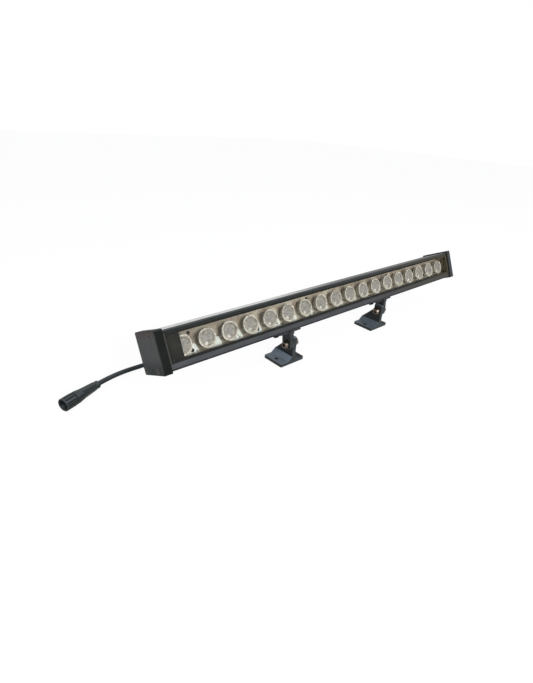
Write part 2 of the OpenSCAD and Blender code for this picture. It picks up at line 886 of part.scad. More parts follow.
module connector_body() {
    color([0.14, 0.15, 0.16])
    in_connector()
    point_x() {
        rotate_extrude($fn = round_fn)
            polygon([[0, 0], [collar_d / 2 - connector_edge, 0], [collar_d / 2, connector_edge],
                [collar_d / 2, connector_tail_l + cut], [0, connector_tail_l + cut]]);
        translate([0, 0, connector_tail_l]) grip_solid();
        difference() {
            union() {
                translate([0, 0, connector_tail_l + connector_grip_l - cut])
                    cylinder(d = spigot_d, h = spigot_l + cut, $fn = round_fn);
                translate([0, 0, insert_face - spigot_lip])
                    cylinder(d = mouth_d - 2 * push_gap, h = spigot_lip, $fn = round_fn);
            }
            translate([0, 0, insert_face - insert_l])
                cylinder(d = insert_d, h = insert_l + cut, $fn = round_fn);
        }
    }
}

module at_pins(height) {
    for (i = [0:pin_count - 1])
        rotate([0, 0, i * 360 / pin_count])
            translate([pin_ring_r, 0, height])
                children();
}

module connector_insert() {
    color([0.3, 0.31, 0.31])
    in_connector()
    point_x()
        difference() {
            translate([0, 0, insert_face - insert_l])
                cylinder(d = insert_d - 2 * turn_gap, h = insert_l, $fn = round_fn);
            at_pins(insert_face - insert_l / 2) cylinder(r = pin_r + turn_gap, h = insert_l, $fn = round_fn);
        }
}

module connector_pins() {
    color([0.8, 0.68, 0.35])
    in_connector()
    point_x()
        at_pins(insert_face - insert_l / 2) cylinder(r = pin_r, h = insert_l / 2 + pin_reach, $fn = round_fn);
}

module connector_nut() {
    nut_r = connector_nut_d / 2;
    nut_l = connector_nut_l;
    color([0.12, 0.13, 0.14])
    in_connector()
    point_x()
        translate([0, 0, connector_tail_l + connector_grip_l])
            difference() {
                rotate_extrude($fn = round_fn)
                    polygon([[0, 0], [nut_r - connector_edge, 0], [nut_r, connector_edge],
                        [nut_r, nut_l - connector_edge], [nut_r - connector_edge, nut_l], [0, nut_l]]);
                for (i = [0:nut_groove_count - 1])
                    rotate([0, 0, i * 360 / nut_groove_count])
                        translate([nut_r + nut_groove_r - nut_groove_depth, 0, nut_band])
                            cylinder(r = nut_groove_r, h = nut_l - 2 * nut_band, $fn = groove_fn);
                translate([0, 0, nut_shoulder_t])
                    cylinder(d = mouth_d, h = nut_l, $fn = round_fn);
                translate([0, 0, -cut])
                    cylinder(d = spigot_d + 2 * turn_gap, h = nut_shoulder_t + 2 * cut, $fn = round_fn);
            }
}

// Cable: out of the gland, down to the ground behind the bar, and along it to the connector.
// The inner points are chosen by hand, and the ends follow the gland and the connector.
cable_straight = 5;
cable_start = bar_to_ground([gland_x, cable_start_y, gland_z]);
cable_inside = bar_to_ground([gland_x, gland_exit_y - cable_straight, gland_z]);
cable_exit = bar_to_ground([gland_x, gland_exit_y, gland_z]);
cable_lead = bar_to_ground([gland_x, gland_exit_y + cable_straight, gland_z]);
cable_end = [connector_tail[0], connector_tail[1], connector_axis_h];
cable_tail_lead = cable_end - cable_straight * [cos(connector_turn), sin(connector_turn), 0];
cable_points = [
    [-120.7, 46, 27.3],
    [-123, 51.2, 25],
    [-127.2, 56, 22.7],
    [-133, 59.7, 20.5],
    [-140.5, 61.9, 18],
    [-152, 62.3, 14.3],
    [-165, 61.3, 10.2],
    [-178, 60.7, 6.7],
    [-191, 60.3, 4.1],
    [-204, 60.2, 2.8],
    [-217, 60.3, 2.5],
    [-230, 60.4, 2.5],
    [-243, 59.9, 2.8],
    [-254.5, 57.2, 3.9],
    [-265, 53, 5.4]];
cable_route = concat([cable_start, cable_inside, cable_exit, cable_lead], cable_points,
    [cable_tail_lead, cable_end]);
route_steps = 2;

// A point on the smooth curve through the route, k steps of the way from point i to the next
function route_at(i, k) =
    let (n = len(cable_route),
         a = cable_route[max(i - 1, 0)],
         b = cable_route[i],
         c = cable_route[min(i + 1, n - 1)],
         d = cable_route[min(i + 2, n - 1)])
    b + 0.5 * k * (c - a + k * (2 * a - 5 * b + 4 * c - d + k * (3 * (b - c) + d - a)));
cable_line = concat(
    [for (i = [0:len(cable_route) - 2], s = [0:route_steps - 1]) route_at(i, s / route_steps)],
    [cable_route[len(cable_route) - 1]]);
function unit(v) = v / norm(v);
function line_way(i) =
    i == 0 ? unit(cable_line[1] - cable_line[0])
    : i == len(cable_line) - 1 ? unit(cable_line[i] - cable_line[i - 1])
    : unit(cable_line[i + 1] - cable_line[i - 1]);
function ring(i) =
    let (way = line_way(i),
         side = unit(cross(way, [0, 0, 1])),
         up = cross(side, way))
    [for (s = [0:cable_sides - 1])
        cable_line[i] + cable_d / 2 * (cos(s * 360 / cable_sides) * side + sin(s * 360 / cable_sides) * up)];

module power_cable() {
    rings = len(cable_line);
    points = [for (i = [0:rings - 1]) each ring(i)];
    walls = [for (i = [0:rings - 2], s = [0:cable_sides - 1])
        let (a = i * cable_sides + s,
             b = i * cable_sides + (s + 1) % cable_sides,
             c = b + cable_sides,
             d = a + cable_sides)
        each [[a, b, c], [a, c, d]]];
    start_cap = [for (s = [cable_sides - 1:-1:0]) s];
    end_cap_ring = [for (s = [0:cable_sides - 1]) (rings - 1) * cable_sides + s];
    color([0.12, 0.12, 0.13])
    polyhedron(points, concat(walls, [start_cap, end_cap_ring]));
}

// Upper bracket: a flange under the bar with a leaning tab. It is drawn with the tab's middle
// plane at x = 0, in the bar's frame.
flange_top = -housing_h / 2 - face_gap;
flange_low = flange_top - flange_t;
flange_front = slot_y - flange_d / 2;
slot_screw_offset = 10.6;
slot_screw_head_d = 7;
slot_screw_head_h = 2.4;
tab_root_y = pivot_y - (flange_low - pivot_z) * tan(tab_lean);
tab_root_half = tab_w / 2 / cos(tab_lean);

module tab_yz() {
    difference() {
        union() {
            translate([pivot_y, pivot_z]) circle(tab_w / 2, $fn = round_fn);
            polygon([
                [pivot_y - tab_w / 2 * cos(tab_lean), pivot_z - tab_w / 2 * sin(tab_lean)],
                [pivot_y + tab_w / 2 * cos(tab_lean), pivot_z + tab_w / 2 * sin(tab_lean)],
                [tab_root_y + tab_root_half, flange_low + flange_t / 2],
                [tab_root_y - tab_root_half, flange_low + flange_t / 2]]);
        }
        translate([pivot_y, pivot_z]) circle(bolt_d / 2 + turn_gap, $fn = round_fn);
    }
}

// Fillets on both sides of the tab, under the flange, run across the tab's root
module tab_fillets() {
    r = tab_fillet_r;
    root_front = tab_root_y - tab_root_half;
    for (s = [-1, 1])
        difference() {
            translate([s * (tab_t + r) / 2 - r / 2, root_front, flange_low - r])
                cube([r, 2 * tab_root_half, r]);
            translate([s * (tab_t / 2 + r), root_front - cut, flange_low - r])
                point_back()
                    cylinder(r = r, h = 2 * (tab_root_half + cut), $fn = round_fn);
        }
}

module upper_bracket(x) {
    color([0.16, 0.17, 0.18])
    in_bar()
    translate([x, 0, 0]) {
        tab_fillets();
        difference() {
            translate([-flange_w / 2, flange_front, flange_low]) cube([flange_w, flange_d, flange_t]);
            for (s = [-1, 1])
                translate([s * slot_screw_offset, slot_y, flange_low - cut])
                    cylinder(d = slot_screw_d + 2 * turn_gap, h = flange_t + 2 * cut, $fn = round_fn);
        }
        run_x(-tab_t / 2, tab_t) tab_yz();
    }
}

module upper_bracket_left() {
    upper_bracket(left_bracket_x);
}

module upper_bracket_right() {
    upper_bracket(right_bracket_x);
}

// Slot plate: slides inside the slot and takes the two screws of its bracket
plate_w = slot_w - 2 * push_gap;
plate_h = slot_h - 2 * push_gap;
plate_low = -housing_h / 2 + slot_lip + face_gap;

module slot_plate(x) {
    color([0.6, 0.6, 0.58])
    in_bar()
    translate([x, slot_y, plate_low])
        difference() {
            translate([-flange_w / 2, -plate_w / 2, 0]) cube([flange_w, plate_w, plate_h]);
            for (s = [-1, 1])
                translate([s * slot_screw_offset, 0, -cut])
                    cylinder(d = slot_screw_d + 2 * turn_gap, h = plate_h + 2 * cut, $fn = round_fn);
        }
}

module slot_plate_left() {
    slot_plate(left_bracket_x);
}

module slot_plate_right() {
    slot_plate(right_bracket_x);
}

module slot_screws(x) {
    color([0.62, 0.58, 0.54])
    in_bar()
    for (s = [-1, 1])
        translate([x + s * slot_screw_offset, slot_y, flange_low])
            rotate([180, 0, 0])
                dome_screw(slot_screw_d, slot_screw_head_d, slot_screw_head_h,
                    plate_low + plate_h - flange_low, slot_screw_d * socket_share);
}

module slot_screws_left() {
    slot_screws(left_bracket_x);
}

module slot_screws_right() {
    slot_screws(right_bracket_x);
}

// Pivot stacks. The left foot's web stands on the +x side of the tab, the right foot's on the -x side.
left_stack_low = -tab_t / 2;
left_stack_high = tab_t / 2 + face_gap + foot_web_t + face_gap;
right_stack_low = -tab_t / 2 - face_gap - foot_web_t - face_gap;
right_stack_high = tab_t / 2;
stack_l = left_stack_high - left_stack_low;
left_web_x = left_bracket_x + tab_t / 2 + face_gap;
right_web_x = right_bracket_x - tab_t / 2 - face_gap - foot_web_t;
bolt_l = stack_l + 2 * washer_t + nut_h + face_gap;
bolt_socket_w = 4;

module on_pivot(x) {
    in_bar() translate([x, pivot_y, pivot_z]) children();
}

module pivot_bolt(x) {
    color([0.62, 0.58, 0.54])
    on_pivot(x - washer_t)
        rotate([0, -90, 0])
            dome_screw(bolt_d, bolt_head_d, bolt_head_h, bolt_l, bolt_socket_w);
}

module pivot_bolt_left() {
    pivot_bolt(left_bracket_x + left_stack_low);
}

module pivot_bolt_right() {
    pivot_bolt(right_bracket_x + right_stack_low);
}

module pivot_nut(x) {
    color([0.58, 0.54, 0.5])
    on_pivot(x + washer_t)
        point_x()
            difference() {
                hex_prism(nut_flats, nut_h);
                translate([0, 0, -cut])
                    cylinder(d = bolt_d + 2 * turn_gap, h = nut_h + 2 * cut, $fn = round_fn);
            }
}

module pivot_nut_left() {
    pivot_nut(left_bracket_x + left_stack_high);
}

module pivot_nut_right() {
    pivot_nut(right_bracket_x + right_stack_high);
}

module washer(x) {
    on_pivot(x)
        point_x()
            difference() {
                cylinder(d = washer_d, h = washer_t, $fn = round_fn);
                translate([0, 0, -cut])
                    cylinder(d = bolt_d + 2 * turn_gap, h = washer_t + 2 * cut, $fn = round_fn);
            }
}

module washers_left() {
    color([0.12, 0.12, 0.11]) {
        washer(left_bracket_x + left_stack_low - washer_t);
        washer(left_bracket_x + left_stack_high);
    }
}

module washers_right() {
    color([0.12, 0.12, 0.11]) {
        washer(right_bracket_x + right_stack_low - washer_t);
        washer(right_bracket_x + right_stack_high);
    }
}

// Foot: a plate with an upright web, square at the front and sloped behind, and a fillet strip
// along both sides of the web. Its outline is drawn in y and z about the pivot.
web_behind = 5;
knee_rise = 2;
heel_h = 8;
web_corner_r = 1.5;
gusset_rise = 4.8;
gusset_run = 5.6;
plate_corner_r = 1.2;
foot_back = foot_d - foot_front;
foot_top_z = foot_t - pivot_h;
plate_mid_x = foot_web_t / 2 - foot_shift;

module foot_web_yz() {
    difference() {
        union() {
            polygon([
                [-foot_front, -pivot_h], [foot_back, -pivot_h], [foot_back, heel_h - pivot_h],
                [web_behind, knee_rise], [web_behind, foot_web_top - web_corner_r],
                [web_behind - web_corner_r, foot_web_top], [web_corner_r - foot_front, foot_web_top],
                [-foot_front, foot_web_top - web_corner_r]]);
            for (y = [web_corner_r - foot_front, web_behind - web_corner_r])
                translate([y, foot_web_top - web_corner_r])
                    circle(web_corner_r, $fn = round_fn);
        }
        circle(bolt_d / 2 + turn_gap, $fn = round_fn);
    }
}

module plate_xy() {
    half_w = foot_w / 2 - plate_corner_r;
    half_d = foot_d / 2 - plate_corner_r;
    square([foot_w, 2 * half_d], center = true);
    square([2 * half_w, foot_d], center = true);
    for (x = [-half_w, half_w], y = [-half_d, half_d])
        translate([x, y]) circle(plate_corner_r, $fn = round_fn);
}

module foot_plate() {
    translate([plate_mid_x, foot_back - foot_d / 2, -pivot_h])
        difference() {
            linear_extrude(foot_t) plate_xy();
            for (s = [-1, 1])
                translate([s * foot_hole_pitch / 2, 0, -cut])
                    cylinder(d = foot_hole_d, h = foot_t + 2 * cut, $fn = round_fn);
        }
}

// The fillet strips, in x and z, run from the front of the foot to its back
module foot_fillets() {
    translate([0, foot_back, 0])
        rotate([90, 0, 0])
            linear_extrude(foot_d)
                polygon([
                    [-gusset_run, foot_top_z], [0, foot_top_z + gusset_rise],
                    [foot_web_t, foot_top_z + gusset_rise], [foot_web_t + gusset_run, foot_top_z]]);
}

module foot(web_x) {
    color([0.24, 0.26, 0.28])
    translate([web_x, pivot_ground_y, pivot_h]) {
        run_x(0, foot_web_t) foot_web_yz();
        foot_plate();
        foot_fillets();
    }
}

module foot_left() {
    foot(left_web_x);
}

module foot_right() {
    foot(right_web_x);
}

housing();
front_glass();
glass_seals();
window_blank();
end_cap_left();
end_cap_right();
end_gasket_left();
end_gasket_right();
cap_screws_left();
cap_screws_right();
light_board();
thermal_pad();
light_chips();
board_screws();
for (i = [0:led_count - 1]) lens(i);
driver_board();
driver_parts();
link_wires();
supply_wires();
gland_body();
gland_locknut();
gland_nut();
gland_seal();
power_cable();
connector_body();
connector_insert();
connector_pins();
connector_nut();
upper_bracket_left();
upper_bracket_right();
slot_plate_left();
slot_plate_right();
slot_screws_left();
slot_screws_right();
pivot_bolt_left();
pivot_bolt_right();
pivot_nut_left();
pivot_nut_right();
washers_left();
washers_right();
foot_left();
foot_right();
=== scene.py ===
import json
import math
import random

import bmesh
import bpy
from mathutils import Euler, Matrix, Vector


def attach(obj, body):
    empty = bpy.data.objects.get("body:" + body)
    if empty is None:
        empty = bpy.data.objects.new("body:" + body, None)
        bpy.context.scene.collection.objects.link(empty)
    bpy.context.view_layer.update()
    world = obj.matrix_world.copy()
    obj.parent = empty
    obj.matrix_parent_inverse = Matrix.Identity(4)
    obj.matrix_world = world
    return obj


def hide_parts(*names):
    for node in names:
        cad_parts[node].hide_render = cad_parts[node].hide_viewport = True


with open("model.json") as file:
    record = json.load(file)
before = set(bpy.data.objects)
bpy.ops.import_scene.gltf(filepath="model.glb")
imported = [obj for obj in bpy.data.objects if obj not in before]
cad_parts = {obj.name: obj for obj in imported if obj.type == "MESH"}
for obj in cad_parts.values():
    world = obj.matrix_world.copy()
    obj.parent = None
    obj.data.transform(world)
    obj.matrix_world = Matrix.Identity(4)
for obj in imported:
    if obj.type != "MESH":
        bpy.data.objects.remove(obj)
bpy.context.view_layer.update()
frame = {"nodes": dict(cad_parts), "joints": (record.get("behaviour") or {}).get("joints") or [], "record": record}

NODES = frame["nodes"]
RECORD = frame["record"]
JOINTS = {joint["name"]: joint for joint in frame["joints"]}

# Camera, from the fit to the lens centres, the end plate and the feet
CAMERA_AT = Vector((-0.3983, -0.3065, 0.2405))
CAMERA_TURN_DEG = (62.527, -3.729, -41.321)
CAMERA_SENSOR_MM = 36.0
CAMERA_LENS_MM = 22.856
CAMERA_CLIP = 0.01

# The lamp's own frame: x along the bar, y back from its front rims, z up from its row of lights.
# It leans back by the tilt about the pivot of the feet.
TILT = math.radians(25)
PIVOT = Vector(JOINTS["tilt_left"]["pos_m"])
PIVOT_IN_BAR = Vector((0, 0.0145, -0.0332))
TO_BAR = Matrix.Rotation(TILT, 3, "X")
FROM_BAR = TO_BAR.transposed()
BAR_ORIGIN = Vector((0, PIVOT.y, PIVOT.z)) - FROM_BAR @ PIVOT_IN_BAR

# The row of lights and the window, in the lamp's frame
LIGHTS = sum(name.startswith("lens_") for name in NODES)
PITCH = 0.026
FIRST_LIGHT_X = -(LIGHTS - 1) * PITCH / 2
LENS_FACE_Y = 0.0062
BOARD_Y = 0.016
WINDOW_LOW = -0.0103
WINDOW_HIGH = 0.0127

# Cable: its size, and the route that it lies along from the gland to the connector
CABLE_D = 0.0048
CABLE_ROUTE = [
    (-0.120, 0.0220844, 0.0383941), (-0.120, 0.0320537, 0.0337453), (-0.120, 0.0365853, 0.0316322),
    (-0.120, 0.0411168, 0.0295191), (-0.1207, 0.046, 0.0273), (-0.123, 0.0512, 0.025),
    (-0.1272, 0.056, 0.0227), (-0.133, 0.0597, 0.0205), (-0.1405, 0.0619, 0.018),
    (-0.152, 0.0623, 0.0143), (-0.165, 0.0613, 0.0102), (-0.178, 0.0607, 0.0067),
    (-0.191, 0.0603, 0.0041), (-0.204, 0.0602, 0.0028), (-0.217, 0.0603, 0.0025),
    (-0.230, 0.0604, 0.0025), (-0.243, 0.0599, 0.0028), (-0.2545, 0.0572, 0.0039),
    (-0.265, 0.053, 0.0054), (-0.274364, 0.049273, 0.0062), (-0.279, 0.0474, 0.0062)]
ROUTE_STEPS = 8


def in_bar(x, y, z):
    """The place of a point given in the lamp's own frame."""
    return BAR_ORIGIN + FROM_BAR @ Vector((x, y, z))


def tone(red, green, blue):
    """A colour as it is seen, from 0 to 255, in the linear values that the shaders take."""
    def linear(value):
        share = value / 255
        return share / 12.92 if share <= 0.04045 else ((share + 0.055) / 1.055) ** 2.4
    return (linear(red), linear(green), linear(blue), 1)


def dimmed(color, share):
    """A colour with only a share of its light."""
    return tuple(c * share for c in color[:3]) + (1,)


# Small helpers for node materials

def node(tree, kind, values=None, **settings):
    """A shader node, with its settings, and with values or links on its inputs."""
    made = tree.nodes.new("ShaderNode" + kind)
    for name, value in settings.items():
        setattr(made, name, value)
    for key, value in (values or {}).items():
        if isinstance(value, bpy.types.NodeSocket):
            tree.links.new(value, made.inputs[key])
        else:
            made.inputs[key].default_value = value
    return made


def calc(tree, operation, *terms):
    return node(tree, "Math", dict(enumerate(terms)), operation=operation).outputs[0]


def times(tree, first, *others):
    """The product of two or more values."""
    product = first
    for other in others:
        product = calc(tree, "MULTIPLY", product, other)
    return product


def vector_calc(tree, operation, output, *terms):
    """A sum on vectors, whose output is Value for a number or Vector for a vector."""
    return node(tree, "VectorMath", dict(enumerate(terms)), operation=operation).outputs[output]


def fade(tree, value, low, high):
    """0 at low, 1 at high and smooth between them, where low may be the greater."""
    mapped = node(tree, "MapRange", {"Value": value, "From Min": low, "From Max": high},
                  interpolation_type="SMOOTHSTEP")
    return mapped.outputs["Result"]


def band(tree, value, low, high, soft):
    """1 between low and high, and 0 outside them."""
    return times(tree, fade(tree, value, low - soft, low), fade(tree, value, high + soft, high))


def spread(tree, value, low, high):
    """From low to high as the value goes from 0 to 1."""
    return node(tree, "MapRange", {"Value": value, "To Min": low, "To Max": high}).outputs["Result"]


def mix(tree, factor, a, b):
    """Colour a where the factor is 0, and colour b where it is 1."""
    return node(tree, "Mix", {0: factor, 6: a, 7: b}, data_type="RGBA").outputs[2]


def noise(tree, place, scale, detail=3.0, low=0.3, high=0.7):
    cloud = node(tree, "TexNoise", {"Vector": place, "Scale": scale, "Detail": detail})
    return fade(tree, cloud.outputs["Fac"], low, high)


def place_of(tree):
    return node(tree, "TexCoord").outputs["Object"]


def stretched(tree, place, scale):
    return node(tree, "Mapping", {"Vector": place, "Scale": scale}).outputs["Vector"]


def bar_place(tree):
    """A point's place in the lamp's own frame."""
    shift = -(TO_BAR @ BAR_ORIGIN)
    mapped = node(tree, "Mapping", {"Vector": place_of(tree), "Location": shift, "Rotation": (TILT, 0, 0)})
    return mapped.outputs["Vector"]


def axes(tree, vector):
    split = node(tree, "SeparateXYZ", {"Vector": vector})
    return split.outputs["X"], split.outputs["Y"], split.outputs["Z"]


def new_material(name, roughness, specular=0.5, metallic=0.0, alpha=1.0):
    mat = bpy.data.materials.new(name)
    mat.use_nodes = True
    shader = mat.node_tree.nodes["Principled BSDF"]
    shader.inputs["Roughness"].default_value = roughness
    shader.inputs["Specular IOR Level"].default_value = specular
    shader.inputs["Metallic"].default_value = metallic
    shader.inputs["Alpha"].default_value = alpha
    return mat, mat.node_tree, shader


def set_bump(tree, shader, height, depth, soft_edge=0.0):
    """Bump of a depth in metres. With a soft edge, the sharp edges also catch light as rounded ones."""
    values = {"Height": height, "Strength": 1.0, "Distance": depth}
    if soft_edge:
        values["Normal"] = node(tree, "Bevel", {"Radius": soft_edge}, samples=4).outputs["Normal"]
    tree.links.new(node(tree, "Bump", values).outputs["Normal"], shader.inputs["Normal"])


# Worn edges: how alike the rounded and the true normal are there, and the noise that breaks them up
WORN_LIKENESS = (0.99, 0.9)
WORN_SCALE = 350


def edge_mask(tree, radius, place):
    """Where an edge is near and its paint is thin, broken up by noise."""
    rounded = node(tree, "Bevel", {"Radius": radius}, samples=6).outputs["Normal"]
    true = node(tree, "NewGeometry").outputs["Normal"]
    likeness = vector_calc(tree, "DOT_PRODUCT", "Value", rounded, true)
    return times(tree, fade(tree, likeness, *WORN_LIKENESS),
                 noise(tree, place, WORN_SCALE, detail=4, low=0.3, high=0.6))


# Paint. Pairs that end in UP are shares of the normal that point up, from no effect to the full one. The paler
# tone on what faces up is painted light from above.
LIT_UP = (0.44, 0.66)
TOP_UP = (0.86, 0.9)
LIT_LEAST = 0.5
LIT_CLOUDS = 0.3
CLOUD_STRETCH = (0.35, 1, 1)
CLOUD_SCALE = 90
CLOUD_DIM = 0.7
EDGE_R = 0.0004
PAINT_BUMP = 0.00002
PAINT_SMOOTHER = 0.06
PAINT_ROUGHER = 0.08
# The smooth film on the top is worn off from the near part of the bar to past its middle
GLOSS_X = (0.03, -0.12)


def paint(name, dark, lit_tone, edge, roughness, specular=0.15, tint=None, grain=2200, top_gloss=0.0):
    """Satin paint: dark, with painted light from above as a paler tone on what faces up, and thin along the edges.
    """
    mat, tree, shader = new_material(name, roughness, specular)
    place = place_of(tree)
    normal = node(tree, "TexCoord").outputs["Normal"]
    facing_up = axes(tree, normal)[2]
    clouds = noise(tree, stretched(tree, place, CLOUD_STRETCH), CLOUD_SCALE, detail=4)
    color = mix(tree, clouds, dimmed(dark, CLOUD_DIM), dark)
    # painted light: what faces up is paler, as if lit from above, broken up in clouds
    painted_light = calc(tree, "MULTIPLY_ADD", clouds, LIT_CLOUDS, LIT_LEAST)
    color = mix(tree, times(tree, fade(tree, facing_up, *LIT_UP), painted_light), color, lit_tone)
    if tint:
        color = tint(tree, place, normal, color)
    color = mix(tree, edge_mask(tree, EDGE_R, place), color, edge)
    tree.links.new(color, shader.inputs["Base Color"])
    fine = noise(tree, place, grain, detail=2, low=0.2, high=0.8)
    rough = spread(tree, fine, roughness - PAINT_SMOOTHER, roughness + PAINT_ROUGHER)
    top = fade(tree, facing_up, *TOP_UP)
    near = fade(tree, axes(tree, place)[0], *GLOSS_X)
    keep = calc(tree, "SUBTRACT", 1.0, times(tree, top, near, top_gloss))
    tree.links.new(times(tree, rough, keep), shader.inputs["Roughness"])
    set_bump(tree, shader, fine, PAINT_BUMP, EDGE_R)
    return mat


# Housing, in the lamp's frame: its light chamber, and the painted shade on the face below its front rim
CHAMBER_Y = (0.0061, 0.0179)
CHAMBER_Z = (-0.0104, 0.0165)
CHAMBER_SOFT = 0.0001
CHAMBER_TONE = tone(150, 138, 118)
BELOW_RIM_Z = (-0.0162, -0.0174)
BELOW_RIM_Y = (0.004, 0.001)
BELOW_RIM_SHADE_TONE = tone(24, 25, 32)
# Its paint is greyer from the near end to the middle, and warmer from there to the far end
GREY_X = (-0.2, 0)
GREY_SHARE = 0.3
GREY_TONE = tone(36, 36, 37)
WARM_X = (0, 0.2)
WARM_SHARE = 0.7
WARM_TONE = tone(50, 46, 38)


def housing_tint(tree, place, normal, color):
    """Bare, brownish inside of the light chamber, a warmer rim towards the far end, and painted shade on the face
    below the front rim.
    """
    x, y, z = axes(tree, bar_place(tree))
    inside = times(tree, band(tree, y, *CHAMBER_Y, CHAMBER_SOFT), band(tree, z, *CHAMBER_Z, CHAMBER_SOFT))
    color = mix(tree, times(tree, fade(tree, x, *GREY_X), GREY_SHARE), color, GREY_TONE)
    color = mix(tree, times(tree, fade(tree, x, *WARM_X), WARM_SHARE), color, WARM_TONE)
    # painted shade: the face below the front rim is darker
    below_rim_shade = times(tree, fade(tree, z, *BELOW_RIM_Z), fade(tree, y, *BELOW_RIM_Y))
    color = mix(tree, below_rim_shade, color, BELOW_RIM_SHADE_TONE)
    return mix(tree, inside, color, CHAMBER_TONE)


# Brackets and feet: painted light on their slopes and plates by the way they face, and the change along the bar
BRACKETS_NEAR_X = (0.04, -0.04)
SLOPE_ALONG = (-0.2, -0.45)
SLOPE_UP = (0.3, 0.5)
SLOPE_FAR_LIT_TONE = tone(82, 92, 98)
SLOPE_NEAR_LIT_TONE = tone(108, 118, 130)
PLATE_UP = (0.9, 0.98)
PLATE_LIT_SHARE = 0.7
PLATE_LIT_TONE = tone(108, 116, 126)
# Where the webs of the feet stand, and from them the painted shadow on the plates' darker far halves
WEBS_X = (-0.0898, 0.0708)
WEB_SHADOW_FROM = 0.003
WEB_SHADOW_TO = 0.024
WEB_SHADOW_SOFT = 0.001
WEB_SHADOW_Z = (0.007, 0.005)
WEB_SHADOW_TONE = tone(44, 49, 52)


def bracket_tint(tree, place, normal, color):
    """Painted light: bluer and paler slopes and paler plates towards the near end; and painted shadow: darker
    plates behind the webs.
    """
    x, _, z = axes(tree, place)
    along, _, up = axes(tree, normal)
    # painted light: slopes that face up and towards the near end are paler and bluer
    lit_slope = times(tree, fade(tree, along, *SLOPE_ALONG), fade(tree, up, *SLOPE_UP))
    near = fade(tree, x, *BRACKETS_NEAR_X)
    color = mix(tree, lit_slope, color, mix(tree, near, SLOPE_FAR_LIT_TONE, SLOPE_NEAR_LIT_TONE))
    lit_plate = times(tree, near, PLATE_LIT_SHARE, fade(tree, up, *PLATE_UP))
    color = mix(tree, lit_plate, color, PLATE_LIT_TONE)
    # painted shadow: each web shades the plate's far half
    for web in WEBS_X:
        web_shadow = band(tree, x, web + WEB_SHADOW_FROM, web + WEB_SHADOW_TO, WEB_SHADOW_SOFT)
        color = mix(tree, times(tree, web_shadow, fade(tree, z, *WEB_SHADOW_Z)), color, WEB_SHADOW_TONE)
    return color


# End caps, in the lamp's frame: faces square to the bar, and the distances of these from its middle
SQUARE_FACING = (0.75, 0.95)
OUTER_FACE_X = (0.2475, 0.248)
INWARD_FACE_X = (0.2402, 0.24)
# The inward faces' olive brown is painted light, lighter than the dark cap paint.
INWARD_FACE_LIT_TONE = tone(104, 95, 72)
# The end plates' mid grey is painted light on the dark cap paint; the tones below change it towards the foot, the
# top and the back.
END_PLATE_LIT_TONE = tone(76, 76, 76)
END_PLATE_FOOT_Z = (-0.004, -0.017)
END_PLATE_FOOT_TONE = tone(44, 51, 50)
END_PLATE_TOP_Z = (0.012, 0.019)
END_PLATE_TOP_TONE = tone(76, 67, 65)
END_PLATE_BACK_Y = (0.02, 0.03)
END_PLATE_BACK_SHARE = 0.35
END_PLATE_BACK_TONE = tone(64, 66, 67)
# The far cap's lighter, bluer tone is painted light.
FAR_CAP_X = (0.2, 0.24)
FAR_CAP_LIT_TONE = tone(52, 54, 58)
PLUG_Y = (0.0002, 0.0006)
PLUG_Z = (0.0152, 0.0149)
PLUG_X = (0, 0.2)
PLUG_NEAR_TONE = tone(64, 62, 58)
PLUG_FAR_TONE = tone(70, 65, 50)


def cap_tint(tree, place, normal, color):
    """Painted light: the end plates mid grey, browner at the top and bluer at the foot, the far cap lighter and
    bluer, and the inward faces olive brown; and the plugs' faces.
    """
    x, y, z = axes(tree, bar_place(tree))
    from_middle = calc(tree, "ABSOLUTE", x)
    square = fade(tree, calc(tree, "ABSOLUTE", axes(tree, normal)[0]), *SQUARE_FACING)
    lit_plate = mix(tree, fade(tree, z, *END_PLATE_FOOT_Z), END_PLATE_LIT_TONE, END_PLATE_FOOT_TONE)
    lit_plate = mix(tree, fade(tree, z, *END_PLATE_TOP_Z), lit_plate, END_PLATE_TOP_TONE)
    back = times(tree, fade(tree, y, *END_PLATE_BACK_Y), END_PLATE_BACK_SHARE)
    lit_plate = mix(tree, back, lit_plate, END_PLATE_BACK_TONE)
    color = mix(tree, fade(tree, x, *FAR_CAP_X), color, FAR_CAP_LIT_TONE)
    # painted light: the lit grey of the end plates
    color = mix(tree, times(tree, square, fade(tree, from_middle, *OUTER_FACE_X)), color, lit_plate)
    plug = times(tree, fade(tree, y, *PLUG_Y), fade(tree, calc(tree, "ABSOLUTE", z), *PLUG_Z),
                 calc(tree, "SUBTRACT", 1.0, square))
    color = mix(tree, plug, color, mix(tree, fade(tree, x, *PLUG_X), PLUG_NEAR_TONE, PLUG_FAR_TONE))
    inward = times(tree, square, fade(tree, from_middle, *INWARD_FACE_X))
    return mix(tree, inward, color, INWARD_FACE_LIT_TONE)


# Connector: the painted shade of the seam and the nut's grooves, along its axis from the joint, and the grooves'
# radii
SEAM_ALONG = (-0.0007, 0.0006)
SEAM_SOFT = 0.0002
GROOVE_ALONG = (0.001, 0.0108)
GROOVE_ALONG_SOFT = 0.0003
GROOVE_R = (0.0055, 0.0060)
GROOVE_R_SOFT = 0.0001
GROOVE_SHADE_SHARE = 0.8
GROOVE_SHADE_TONE = tone(9, 10, 10)


